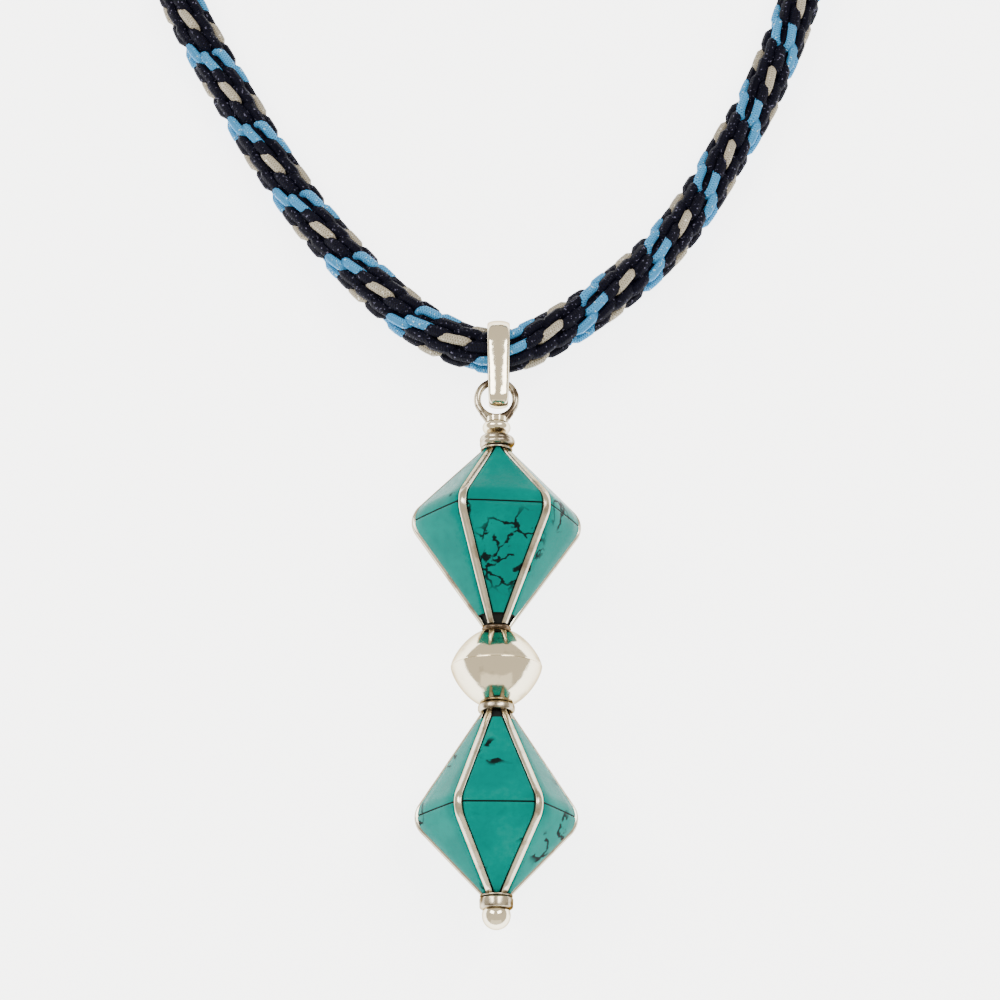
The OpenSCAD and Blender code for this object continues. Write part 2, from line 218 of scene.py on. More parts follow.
def turquoise(name, light, deep, shift, cells, lean, spot):
    """Polished turquoise: even green-blue, with black matrix in broken webs and blots."""
    mat, shader, place = material(name, IOR=1.14, Specular_IOR_Level=0.1, Coat_Roughness=0.1)
    moved = place.node("ShaderNodeMapping", inputs={"Vector": place, "Location": shift})
    warp = noise(moved, 0.42, 4, out=1)
    bent = place.node("ShaderNodeVectorMath", {"operation": "MULTIPLY_ADD"}, {
        0: warp, 1: (0.0034, 0.0034, 0.0034), 2: moved})
    web = place.node("ShaderNodeTexVoronoi", {"feature": "DISTANCE_TO_EDGE"}, {
        "Vector": bent, "Scale": cells / MM})
    waver = noise(moved, 0.9, 3)
    patch = noise(moved, 0.13, 2)
    away = place.node("ShaderNodeVectorMath", {"operation": "DISTANCE"}, {0: place, 1: spot}, out=1)
    near = 1 - (away + 0.004 * patch).step(0.0050, 0.0068)
    whole = noise(moved, 0.7, 2).step(0.40, 0.48)
    where = patch.step(lean, lean + 0.05).math("MAXIMUM", near)
    line = (1 - (web - 0.05 * waver).step(0.012, 0.044)) * where * whole
    blot = noise(moved, 0.55, 3).step(0.62, 0.66) * near
    vein = line.math("MAXIMUM", blot)
    cloud = noise(moved, 0.22, 4)
    fleck = noise(moved, 1.6, 5, rough=0.7).step(0.35, 0.75)
    body = cloud.step(0.35, 0.68).mix(deep, light)
    grain = (0.3 * fleck).mix(body, (0.0005, 0.085, 0.078))
    feed(mat, shader,
         Base_Color=vein.mix(grain, (0.004, 0.010, 0.010)),
         Roughness=0.24 + 0.12 * fleck + 0.15 * vein,
         Coat_Weight=0.02 - 0.02 * vein,
         Normal=bump(cloud - 0.25 * vein, 0.35, 0.08))
    return mat


def glue(name):
    """Black jeweller's resin, seen in the thin lines between the stones."""
    mat, shader, place = material(name, Specular_IOR_Level=0.15)
    grain = noise(place, 1.5, 4)
    feed(mat, shader,
         Base_Color=grain.step(0.3, 0.8).mix((0.003, 0.004, 0.004), (0.008, 0.011, 0.010)),
         Roughness=0.5 + 0.3 * grain)
    return mat


def yarn(name, shadow, light, glint, gloss):
    """Braided nylon strand: fine filaments wound both ways, by the strand's own map. Its colour holds
    painted shade in the grooves between the filaments, painted light on their crowns and painted
    glints.
    """
    mat, shader, place = material(name, Specular_IOR_Level=0.08)
    uv = place.node("ShaderNodeTexCoord", out="UV")
    parts = place.node("ShaderNodeSeparateXYZ", inputs={"Vector": uv})
    turn = Shade(mat.node_tree, parts.socket.node.outputs["Y"])
    left = (parts * 4.2 + turn * 5.0).hump()
    right = (parts * 4.2 - turn * 5.0).hump()
    weave = left.math("MAXIMUM", right)
    fuzz = noise(place, 6, 3, rough=0.7)
    # painted shade in the grooves between filaments and painted light on their crowns, mixed with
    # random fuzz
    weave_shade_and_fuzz = (0.75 * weave + 0.35 * fuzz).step(0.25, 0.95)
    # painted glints: small spots of the bright glint colour in the base colour
    painted_glints = noise(place, 3.6, 1).step(0.66, 0.72)
    feed(mat, shader,
         Base_Color=painted_glints.mix(weave_shade_and_fuzz.mix(shadow, light), glint),
         Roughness=gloss + 0.25 * fuzz,
         Normal=bump(weave + 0.4 * fuzz, 0.9, 0.07))
    return mat


def brass(name):
    """Drawn brass tube, marked along its length."""
    mat, shader, place = material(name, Metallic=1.0)
    draw = noise(place, 1.2, 3, stretch=(8, 1, 8))
    feed(mat, shader,
         Base_Color=draw.mix((0.55, 0.42, 0.2), (0.75, 0.6, 0.32)),
         Roughness=0.25 + 0.2 * draw)
    return mat


SILVER_BRIGHT = silver("silver_polished", (0.76, 0.69, 0.53), (0.44, 0.385, 0.29), 0.07, 0.12, 0.55)
SILVER_RIB = silver("silver_ribs", (0.50, 0.46, 0.37), (0.26, 0.22, 0.165), 0.15, 0.05)
SILVER_WORN = silver("silver_worn", (0.46, 0.41, 0.32), (0.07, 0.052, 0.036), 0.16, 0.08, 0.42)
SILVER_DARK = silver("silver_tarnished", (0.10, 0.075, 0.055), (0.03, 0.022, 0.016), 0.25, 0.07)
STONES = {
    "upper": turquoise("turquoise_matrix", (0.0004, 0.168, 0.145), (0.0002, 0.136, 0.119), (0, 0, 0),
                       0.46, 0.60, (0.0016, (UPPER["mid"] - 4.6) * MM, (AXIS_Z + 6.2) * MM)),
    "lower": turquoise("turquoise_clear", (0.0004, 0.176, 0.153), (0.0002, 0.143, 0.126),
                       (0.021, 0.013, 0.007), 0.30, 0.52, (0, 0, 0.05)),
}
GLUE = glue("black_glue")
# strand colours in order: painted shadow, painted lit tone, painted glint colour, then roughness
NAVY = yarn("strand_navy", (0.0002, 0.0002, 0.0010), (0.0018, 0.0022, 0.011), (0.10, 0.10, 0.16), 0.5)
SKY = yarn("strand_light_blue", (0.012, 0.09, 0.23), (0.07, 0.33, 0.65), (0.45, 0.66, 0.80), 0.5)
CREAM = yarn("strand_cream", (0.15, 0.125, 0.09), (0.42, 0.385, 0.31), (0.80, 0.78, 0.72), 0.5)
BRASS = brass("brass_tube")


# ---------------------------------------------------------------- mesh helpers

def mesh_object(name, points, faces, mats, face_mats=None, smooth=True):
    """A piece in the frame, from points in millimetres."""
    mesh = bpy.data.meshes.new(name)
    mesh.from_pydata([tuple(np.asarray(p) * MM) for p in points], [], faces)
    for mat in mats:
        mesh.materials.append(mat)
    if face_mats is not None:
        mesh.polygons.foreach_set("material_index", face_mats)
    mesh.polygons.foreach_set("use_smooth", [smooth] * len(mesh.polygons))
    mesh.update()
    obj = bpy.data.objects.new(name, mesh)
    bpy.context.scene.collection.objects.link(obj)
    return obj


def loft_faces(rings, count, closed=False):
    """Walls through rings of points, with flat ends unless the loft closes on itself."""
    faces = []
    for k in range(rings if closed else rings - 1):
        a, b = k * count, ((k + 1) % rings) * count
        faces += [(a + i, a + (i + 1) % count, b + (i + 1) % count, b + i) for i in range(count)]
    if not closed:
        faces.append(tuple(range(count - 1, -1, -1)))
        faces.append(tuple((rings - 1) * count + i for i in range(count)))
    return faces


def point_outward(obj):
    """Merge doubles and turn every face outward."""
    bm = bmesh.new()
    bm.from_mesh(obj.data)
    bmesh.ops.remove_doubles(bm, verts=bm.verts, dist=1e-7)
    bmesh.ops.recalc_face_normals(bm, faces=bm.faces)
    bm.to_mesh(obj.data)
    bm.free()
    return obj


def keep_creases(obj, angle=40):
    """Smooth shading that stays sharp at edges steeper than the angle."""
    obj.data.set_sharp_from_angle(angle=math.radians(angle))
    return obj


def on_axis(points, mid):
    """Points drawn about Z, laid along the pendant's axis with Z = 0 at mid."""
    return [(x, mid + z, AXIS_Z - y) for x, y, z in points]


def revolve(name, outline, mid, mat, steps=72):
    """A closed body of revolution; the outline is a closed loop of [radius, height]."""
    points = []
    for k in range(steps):
        a = 2 * math.pi * k / steps
        points += [(r * math.cos(a), r * math.sin(a), h) for r, h in outline]
    faces = loft_faces(steps, len(outline), closed=True)
    return keep_creases(point_outward(mesh_object(name, on_axis(points, mid), faces, [mat])))


def arc2(cx, cy, r, start, end, steps):
    """Points of an arc in a plane, angles in degrees."""
    return [(cx + r * math.cos(math.radians(start + (end - start) * i / steps)),
             cy + r * math.sin(math.radians(start + (end - start) * i / steps)))
            for i in range(steps + 1)]


# ---------------------------------------------------------------- geometry node trees

def new_tree(name, inputs):
    """A node tree with a geometry input and named sizes; returns tree, input and output."""
    tree = bpy.data.node_groups.new(name, "GeometryNodeTree")
    tree.interface.new_socket("Geometry", in_out="INPUT", socket_type="NodeSocketGeometry")
    for label, kind, default in inputs:
        socket = tree.interface.new_socket(label, in_out="INPUT", socket_type=kind)
        if default is not None:
            socket.default_value = default
    tree.interface.new_socket("Geometry", in_out="OUTPUT", socket_type="NodeSocketGeometry")
    return tree, tree.nodes.new("NodeGroupInput"), tree.nodes.new("NodeGroupOutput")


def wire_tree():
    """Sweep a round wire along each curve and map it: millimetres along, turns around."""
    tree, given, result = new_tree("wire_along_curve", [
        ("Radius", "NodeSocketFloat", 0.0005), ("Sides", "NodeSocketInt", 8),
        ("Material", "NodeSocketMaterial", None)])
    add, link = tree.nodes.new, tree.links.new
    place = add("GeometryNodeSplineParameter")
    keep_along = add("GeometryNodeCaptureAttribute")
    keep_along.capture_items.new("FLOAT", "along")
    link(given.outputs["Geometry"], keep_along.inputs["Geometry"])
    link(place.outputs["Length"], keep_along.inputs["along"])
    circle = add("GeometryNodeCurvePrimitiveCircle")
    link(given.outputs["Sides"], circle.inputs["Resolution"])
    link(given.outputs["Radius"], circle.inputs["Radius"])
    turn = add("GeometryNodeSplineParameter")
    keep_round = add("GeometryNodeCaptureAttribute")
    keep_round.capture_items.new("FLOAT", "round")
    link(circle.outputs["Curve"], keep_round.inputs["Geometry"])
    link(turn.outputs["Factor"], keep_round.inputs["round"])
    sweep = add("GeometryNodeCurveToMesh")
    sweep.inputs["Fill Caps"].default_value = True
    link(keep_along.outputs["Geometry"], sweep.inputs["Curve"])
    link(keep_round.outputs["Geometry"], sweep.inputs["Profile Curve"])
    in_mm = add("ShaderNodeMath")
    in_mm.operation = "MULTIPLY"
    in_mm.inputs[1].default_value = 1 / MM
    link(keep_along.outputs["along"], in_mm.inputs[0])
    pair = add("ShaderNodeCombineXYZ")
    link(in_mm.outputs[0], pair.inputs["X"])
    link(keep_round.outputs["round"], pair.inputs["Y"])
    store = add("GeometryNodeStoreNamedAttribute")
    store.data_type = "FLOAT2"
    store.domain = "CORNER"
    store.inputs["Name"].default_value = "UVMap"
    link(sweep.outputs["Mesh"], store.inputs["Geometry"])
    link(pair.outputs["Vector"], store.inputs["Value"])
    smooth = add("GeometryNodeSetShadeSmooth")
    link(store.outputs["Geometry"], smooth.inputs["Geometry"])
    real = add("GeometryNodeRealizeInstances")
    link(smooth.outputs["Geometry"], real.inputs["Geometry"])
    paint = add("GeometryNodeSetMaterial")
    link(real.outputs["Geometry"], paint.inputs["Geometry"])
    link(given.outputs["Material"], paint.inputs["Material"])
    link(paint.outputs["Geometry"], result.inputs["Geometry"])
    return tree


def turned_tree():
    """Repeat a piece at equal turns about the pendant's axis."""
    tree, given, result = new_tree("repeat_about_axis", [
        ("Count", "NodeSocketInt", 6), ("Axis Height", "NodeSocketFloat", 0.0),
        ("First Turn", "NodeSocketFloat", 0.0), ("Material", "NodeSocketMaterial", None),
        ("Edge Material", "NodeSocketMaterial", None)])
    add, link = tree.nodes.new, tree.links.new
    keep_edge = add("GeometryNodeCaptureAttribute")
    keep_edge.domain = "FACE"
    keep_edge.capture_items.new("INT", "edge")
    link(given.outputs["Geometry"], keep_edge.inputs["Geometry"])
    link(add("GeometryNodeInputMaterialIndex").outputs[0], keep_edge.inputs["edge"])
    points = add("GeometryNodePoints")
    link(given.outputs["Count"], points.inputs["Count"])
    spot = add("ShaderNodeCombineXYZ")
    link(given.outputs["Axis Height"], spot.inputs["Z"])
    link(spot.outputs["Vector"], points.inputs["Position"])
    index = add("GeometryNodeInputIndex")
    share = add("ShaderNodeMath")
    share.operation = "DIVIDE"
    link(index.outputs[0], share.inputs[0])
    link(given.outputs["Count"], share.inputs[1])
    turn = add("ShaderNodeMath")
    turn.operation = "MULTIPLY_ADD"
    turn.inputs[1].default_value = 2 * math.pi
    link(share.outputs[0], turn.inputs[0])
    link(given.outputs["First Turn"], turn.inputs[2])
    angles = add("ShaderNodeCombineXYZ")
    link(turn.outputs[0], angles.inputs["Y"])
    copy = add("GeometryNodeInstanceOnPoints")
    link(points.outputs[0], copy.inputs["Points"])
    link(keep_edge.outputs["Geometry"], copy.inputs["Instance"])
    link(angles.outputs["Vector"], copy.inputs["Rotation"])
    real = add("GeometryNodeRealizeInstances")
    link(copy.outputs["Instances"], real.inputs["Geometry"])
    paint = add("GeometryNodeSetMaterial")
    link(real.outputs["Geometry"], paint.inputs["Geometry"])
    link(given.outputs["Material"], paint.inputs["Material"])
    paint_edge = add("GeometryNodeSetMaterial")
    link(paint.outputs["Geometry"], paint_edge.inputs["Geometry"])
    link(keep_edge.outputs["edge"], paint_edge.inputs["Selection"])
    link(given.outputs["Edge Material"], paint_edge.inputs["Material"])
    link(paint_edge.outputs["Geometry"], result.inputs["Geometry"])
    return tree


def grown(obj, tree, name, **values):
    """Run a tree on an object and return the result as a plain mesh object."""
    modifier = obj.modifiers.new("grow", "NODES")
    modifier.node_group = tree
    for item in tree.interface.items_tree:
        if item.item_type == "SOCKET" and item.in_out == "INPUT" and item.name in values:
            modifier[item.identifier] = values[item.name]
    obj.update_tag()
    bpy.context.view_layer.update()
    graph = bpy.context.evaluated_depsgraph_get()
    mesh = bpy.data.meshes.new_from_object(obj.evaluated_get(graph), depsgraph=graph)
    mesh.name = name
    bpy.data.objects.remove(obj)
    result = bpy.data.objects.new(name, mesh)
    bpy.context.scene.collection.objects.link(result)
    return result


def join_meshes(name, objects):
    """One mesh object from several, with their materials kept."""
    with bpy.context.temp_override(active_object=objects[0], selected_editable_objects=objects):
        bpy.ops.object.join()
    objects[0].name = name
    objects[0].data.name = name
    return objects[0]


def curve_object(name, lines):
    """A curve object with one open line per list of points, in millimetres."""
    data = bpy.data.curves.new(name, "CURVE")
    data.dimensions = "3D"
    for line in lines:
        spline = data.splines.new("POLY")
        spline.points.add(len(line) - 1)
        flat = np.ones((len(line), 4))
        flat[:, :3] = np.asarray(line) * MM
        spline.points.foreach_set("co", flat.ravel())
    obj = bpy.data.objects.new(name, data)
    bpy.context.scene.collection.objects.link(obj)
    return obj


WIRE = wire_tree()
TURNED = turned_tree()


# ---------------------------------------------------------------- the neck cord

COIL_R = 28.0
COIL_Y = 105.0
CAP_R = 3.05
CORD_Z = CORD_D / 2
BAIL_Y = PIVOT["bail_swing"].y
BAIL_Z = PIVOT["bail_swing"].z

LEFT_ROUTE = [
    (-28, COIL_Y, CORD_Z), (-28.8, 100.5, CORD_Z), (-31.3, 95, CORD_Z), (-34.4, 89, CORD_Z),
    (-36, 82.5, CORD_Z), (-35.6, 76, CORD_Z), (-33.2, 69, CORD_Z), (-29.1, 61.3, CORD_Z),
    (-25.5, 54.7, 2.4), (-20.3, 46.3, 2.8), (-15, 39.3, 3.9), (-9, 32.8, 5.4), (-4, 29.4, 6.3),
]
MIDDLE_ROUTE = [(-1.3, BAIL_Y, BAIL_Z), (1.3, BAIL_Y, BAIL_Z)]
RIGHT_ROUTE = [
    (4, 29.6, 6.3), (9.6, 33.6, 5.4), (15.3, 39, 3.9), (20, 45, 2.8), (24.3, 52.4, 2.4),
    (28.4, 60, CORD_Z), (32, 69, CORD_Z), (34.2, 76, 2.4), (34.8, 82.5, 2.8), (33.8, 89, 4.2),
    (31.2, 95, 5.8), (28.8, 100.5, 6.9), (28, COIL_Y, CORD_Z + CORD_D),
]
EYE_END = [(15.5, 82.5, 2.7), (10, 81.4, CAP_R), (4.8, 81.6, CAP_R)]
HOOK_END = [(-15.5, 82.1, CAP_R), (-10.6, 80.3, CAP_R)]


def coil_arc(start, end, height):
    """Points of the coil's circle between two angles, at a height that may change."""
    steps = round(abs(end - start) / 9)
    angles = [math.radians(start + (end - start) * i / steps) for i in range(steps + 1)]
    return [(COIL_R * math.cos(a), COIL_Y + COIL_R * math.sin(a), height(i / steps))
            for i, a in enumerate(angles)]


def hook_descent(share):
    """Height of the upper end of the cord as it comes down to its cap."""
    return CAP_R + (CORD_Z + CORD_D - CAP_R) * (1 + math.cos(math.pi * share)) / 2


def whole_route():
    """From the cap with the eye, round the coil, through the bail, to the hook's cap."""
    lower = coil_arc(-45, 180, lambda share: CORD_Z)
    upper = coil_arc(0, 180, lambda share: CORD_Z + CORD_D)
    down = coil_arc(180, 225, hook_descent)
    return (list(reversed(EYE_END)) + lower + LEFT_ROUTE[1:] + MIDDLE_ROUTE + RIGHT_ROUTE
            + upper[1:] + down[1:] + HOOK_END)


def smooth_line(points, step):
    """A smooth curve through the points, sampled at even steps of its length."""
    p = np.array(points, dtype=float)
    p = np.vstack([2 * p[0] - p[1], p, 2 * p[-1] - p[-2]])
    dense = []
    for i in range(1, len(p) - 2):
        gaps = [max(np.linalg.norm(p[i + k] - p[i + k - 1]), 1e-6) ** 0.5 for k in range(3)]
        knots = np.concatenate([[0], np.cumsum(gaps)])
        t = np.linspace(knots[1], knots[2], 24, endpoint=False)[:, None]
        q = [p[i - 1], p[i], p[i + 1], p[i + 2]]
        for level in range(1, 4):
            q = [((knots[k + level] - t) * q[k] + (t - knots[k]) * q[k + 1])
                 / (knots[k + level] - knots[k]) for k in range(4 - level)]
        dense.append(q[0])
    line = np.vstack(dense + [p[-2][None, :]])
    reach = np.concatenate([[0], np.cumsum(np.linalg.norm(np.diff(line, axis=0), axis=1))])
    even = np.linspace(0, reach[-1], int(reach[-1] / step) + 1)
    return np.stack([np.interp(even, reach, line[:, k]) for k in range(3)], axis=1), even


def frames(line):
    """Sideways and upward directions at every point of a line that never runs upright."""
    ahead = np.gradient(line, axis=0)
    ahead /= np.linalg.norm(ahead, axis=1)[:, None]
    side = np.cross(ahead, [0, 0, 1])
    side /= np.linalg.norm(side, axis=1)[:, None]
    return side, np.cross(side, ahead)


def strand(line, reach, side, up, start, half, top):
    """One strand of the round braid: floats on the surface, joined by dives to the heart.

    start is the first float's turn in degrees and its place in rows; half is half the
    length of a float, top is how far its middle lies from the cord's middle line.
    """
    turn, row = start
    deep = 0.55
    centres = (np.arange(-4, int(reach[-1] / BRAID_ROW) + 4) + row + BRAID_START) * BRAID_ROW
    steps = np.arange(len(centres))
    inside = (centres > half + 0.3) & (centres < reach[-1] - half - 0.3)
    u = np.array([-1, -0.86, -0.5, 0, 0.5, 0.86, 1])
    place = (centres[inside][:, None] + half * u).ravel()
    angle = np.radians(-(turn + 90 * steps[inside][:, None] + LEAN * u)).ravel()
    out = np.tile(deep + (top - deep) * np.sqrt(1 - u ** 6), inside.sum())[:, None]
    at, across, over = (np.stack([np.interp(place, reach, v[:, k]) for k in range(3)], axis=1)
                        for v in (line, side, up))
    return at + out * (np.cos(angle)[:, None] * over + np.sin(angle)[:, None] * across)


def braid():
    """The whole cord: five navy strands, two light blue and one cream."""
    line, reach = smooth_line(whole_route(), 0.4)
    side, up = frames(line)
    bright, dark = (1.5, BRIGHT_R, 0.0), (1.4, STRAND_R, 0.04)
    groups = {
        "cream": ([(-13, 0.0)], CREAM, bright),
        "light_blue": ([(36, 2.5), (-20, 2.4)], SKY, bright),
        "navy": ([(-13, 1.1), (-13, 3.2), (32, 0.5), (32, 1.5), (32, 3.5)], NAVY, dark),
    }
    made = []
    for label, (starts, mat, (half, radius, sunk)) in groups.items():
        top = CORD_D / 2 - radius - sunk
        lines = [strand(line, reach, side, up, start, half, top) for start in starts]
        made.append(grown(curve_object(label, lines), WIRE, label,
                          Radius=radius * MM, Sides=8, Material=mat))
    made.append(grown(curve_object("heart", [line[::3]]), WIRE, "heart",
                      Radius=HEART_R * MM, Sides=8, Material=NAVY))
    return join_meshes("neck_braid", made), line


neck_braid, cord_line = braid()
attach(neck_braid, "cord")
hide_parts("neck_cord", "cord_coil", "eye_tail", "hook_tail")
tuple(cord_line[0] * MM)
[tuple(p * MM) for p in cord_line[::10]]


# ---------------------------------------------------------------- stones and ribs

def edge_turn(length, radius):
    """Angle in degrees that the rounded edge turns through before the straight flank."""
    drop = radius - EDGE_R - TIP_R
    return 90 + math.degrees(math.atan(drop / length)) - math.degrees(
        math.acos(EDGE_R / math.hypot(length, drop)))


def flank(length, radius, edge_steps=8, flank_steps=10):
    """Corner line of one half of a wheel: [distance from the widest ring, radius]."""
    turn = edge_turn(length, radius)
    edge = [(EDGE_R * math.sin(math.radians(turn * i / edge_steps)),
             radius - EDGE_R + EDGE_R * math.cos(math.radians(turn * i / edge_steps)))
            for i in range(edge_steps + 1)]
    last = edge[-1]
    straight = [(last[0] + (length - last[0]) * i / flank_steps,
                 last[1] + (TIP_R - last[1]) * i / flank_steps)
                for i in range(1, flank_steps + 1)]
    return edge + straight


def core_radius(place, length, radius):
    """Corner radius of the resin core at a distance from the widest ring."""
    middle = radius - INLAY_DEPTH
    return middle + (CORE_TIP_R - middle) * place / length


def stone_points(length, radius, outward):
    """Sections of one polished stone, from the widest ring to the tip."""
    half_turn = math.radians(180 / SIDES)
    sections = []
    line = flank(length, radius)
    if length > WAIST_END:
        line = line[:-1]
    soft = 0.05
    widest, corner = line[0]
    ends = [(widest + SEAM, corner, soft), (widest + SEAM + soft, corner - 0.005, 0.0)]
    ends += [(s + SEAM, c, 0.0) for s, c in line[1:]]
    for place, corner, sink in ends:
        face = corner * math.cos(half_turn) + STONE_SWELL - sink
        base = core_radius(min(place, length), length, radius) * math.cos(half_turn) + 0.02
        half = (face * math.sin(half_turn) - RIB_W / 2 - GLUE_LINE) / math.cos(half_turn)
        foot = (base * math.sin(half_turn) - RIB_W / 2 - GLUE_LINE) / math.cos(half_turn)
        roll = min(0.16, half * 0.4)
        crown = 0.015 * half
        across = [-foot, -half + roll * 0.15, -half + roll * 0.45, -half + roll]
        depth = [base, face - roll * 0.9, face - roll * 0.3, face]
        mids = [(-0.5 * half, face + crown * 0.75), (0, face + crown)]
        left = list(zip(across, depth)) + mids
        ring = left + [(-x, d) for x, d in reversed(left[:-1])]
        sections.append([(d, x, outward * place) for x, d in ring])
    return sections


def lofted(name, sections, mats, black=lambda band, side: False):
    """A closed loft; black says which faces of it take the second material."""
    points = [p for section in sections for p in section]
    count = len(sections[0])
    faces = loft_faces(len(sections), count)
    face_mats = [int(black(k // count, k % count)) for k in range(len(faces) - 2)] + [0, 0]
    if len(mats) > 1:
        face_mats[-2:] = [1, 1]
    obj = mesh_object(name, points, faces, mats, face_mats)
    return keep_creases(point_outward(obj), 50)


def stone_is_black(band, side):
    """Glue covers a stone's end at the widest ring, its side walls and its back."""
    walls_and_back = (0, 9, 10)
    return band == 0 or side in walls_and_back


def wheel_pieces(label, wheel, body):
    """Stones and ribs of one wheel, each set repeated about the axis and joined."""
    half_turn = math.radians(180 / SIDES)
    stone_sets = []
    for end, outward in (("top", 1), ("bottom", -1)):
        sections = stone_points(wheel[end], wheel["r"], outward)
        seed = lofted(f"{label}_{end}_stone", sections, [STONES[label], GLUE], stone_is_black)
        lay_on_axis(seed, wheel["mid"])
        stone_sets.append(grown(seed, TURNED, f"{label}_{end}_set", Count=SIDES,
                                **{"Axis Height": AXIS_Z * MM, "First Turn": half_turn + wheel["turn"],
                                   "Material": STONES[label], "Edge Material": GLUE}))
    stones = join_meshes(f"{label}_stones", stone_sets)
    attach(stones, body)
    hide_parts(*[f"{label}_{end}_stone_{i + 1}"
                          for end in ("top", "bottom") for i in range(SIDES)])

    rib = lofted(f"{label}_rib", rib_sections(wheel), [SILVER_RIB])
    lay_on_axis(rib, wheel["mid"])
    ribs = grown(rib, TURNED, f"{label}_ribs", Count=SIDES,
                 **{"Axis Height": AXIS_Z * MM, "First Turn": wheel["turn"],
                    "Material": SILVER_RIB, "Edge Material": GLUE})
    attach(ribs, body)
    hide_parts(*[f"{label}_rib_{i + 1}" for i in range(SIDES)])


def rib_sections(wheel):
    """Sections of one rib, from the finial end to the bail end: a strip with a rounded back."""
    top = flank(wheel["top"], wheel["r"])
    bottom = flank(wheel["bottom"], wheel["r"])
    line = [(-s, c, wheel["bottom"]) for s, c in reversed(bottom)]
    line += [(s, c, wheel["top"]) for s, c in top[1:]]
    half = RIB_W / 2
    sections = []
    for place, corner, length in line:
        base = core_radius(abs(place), length, wheel["r"]) + 0.03
        narrow = half * (0.82 + 0.18 * min(1, (corner - TIP_R) / 2.5))
        side = [(-narrow, base), (-narrow, corner - 0.16), (-narrow + 0.05, corner - 0.07),
                (-narrow * 0.6, corner - 0.02), (0, corner)]
        ring = side + [(-x, d) for x, d in reversed(side[:-1])]
        sections.append([(d, x, place) for x, d in ring])
    return sections


def lay_on_axis(obj, mid):
    """Turn a mesh drawn about Z onto the pendant's axis, with its axis at height 0."""
    obj.data.transform(Matrix(((1, 0, 0, 0), (0, 0, 1, mid * MM), (0, -1, 0, 0), (0, 0, 0, 1))))


wheel_pieces("upper", UPPER, "upper_wheel")
wheel_pieces("lower", LOWER, "lower_wheel")


# ---------------------------------------------------------------- collars and waist bead

def ring_outline(radius, bore, height, soft):
    """Closed outline of a collar whose outer edges are rounded."""
    soft = min(soft, height / 2 - 0.01)
    return ([(bore, 0)] + arc2(radius - soft, soft, soft, -90, 0, 5)
            + arc2(radius - soft, height - soft, soft, 0, 90, 5) + [(bore, height)])


def collars(label, body, mats):
    """The two collars of a wheel, each as wide as its node."""
    for end, mat in zip(("top", "bottom"), mats):
        node = f"{label}_{end}_collar"
        low, high = span(node)
        radius = (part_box(node)[1][0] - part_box(node)[0][0]) / MM / 2
        piece = revolve(f"{node}_band", ring_outline(radius, BORE_R, high - low, 0.3), low, mat)
        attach(piece, body)
        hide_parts(node)


def dome_outline(radius, end_r, height, bulge, wall):
    """Closed outline of a hollow dome from its seam up to its bored end."""
    def line(r, e, h):
        steps = 20
        return [(e + (r - e) * math.cos(math.pi / 2 * i / steps) ** bulge,
                 h * math.sin(math.pi / 2 * i / steps) ** bulge) for i in range(steps + 1)]
    outer = line(radius, end_r, height)
    outer[0] = (radius - 0.06, 0.0)
    outer.insert(1, (radius - 0.01, 0.07))
    inner = line(radius - wall, end_r - wall, height - wall)
    return outer + [(BORE_R, height), (BORE_R, height - wall)] + list(reversed(inner))


def waist_bead():
    """A hollow bead of two domes that meet at a seam."""
    end_r, bulge = 1.5, 1.4
    for node, height, way in (("waist_upper_dome", 3.55, 1), ("waist_lower_dome", 3.7, -1)):
        outline = [(r, way * h) for r, h in dome_outline(WAIST_R, end_r, height, bulge, WAIST_WALL)]
        piece = revolve(f"{node}_shell", outline, WAIST_MID, SILVER_BRIGHT, 96)
        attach(piece, "waist_bead")
        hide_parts(node)


collars("upper", "upper_wheel", (SILVER_WORN, SILVER_DARK))
collars("lower", "lower_wheel", (SILVER_WORN, SILVER_WORN))
waist_bead()


# ---------------------------------------------------------------- pin, eye, wrap and finial

def eye_and_pin():
    """The pin through the beads and its eye, with two flared roots and a web at the neck."""
    low, high = span("head_pin")
    eye_mid = high - EYE_R
    ring_r = EYE_R - WIRE_R
    foot = [(0, low, AXIS_Z), (0, eye_mid - EYE_R, AXIS_Z)]
    loop = [(ring_r * math.sin(a), eye_mid - ring_r * math.cos(a), AXIS_Z)
            for a in np.linspace(0, 2 * math.pi, 73)]
    flare = [(0.5, 2.95), (0.64, 2.6), (0.95, 2.1), (1.42, 1.45)]
    roots = [smooth_line([(way * x, eye_mid - y, AXIS_Z) for x, y in flare], 0.12)[0]
             for way in (-1, 1)]
    saddle = [(0, eye_mid - 2.9, AXIS_Z), (0, eye_mid - 2.05, AXIS_Z)]
    pin = grown(curve_object("pin", [foot]), WIRE, "pin",
                Radius=PIN_R * MM, Sides=24, Material=SILVER_WORN)
    eye = grown(curve_object("eye", [loop] + roots), WIRE, "eye",
                Radius=WIRE_R * MM, Sides=16, Material=SILVER_WORN)
    web = grown(curve_object("web", [saddle]), WIRE, "web",
                Radius=1.05 * MM, Sides=24, Material=SILVER_BRIGHT)
    piece = join_meshes("pin_with_eye", [pin, eye, web])
    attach(piece, "shaft")
    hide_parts("head_pin")


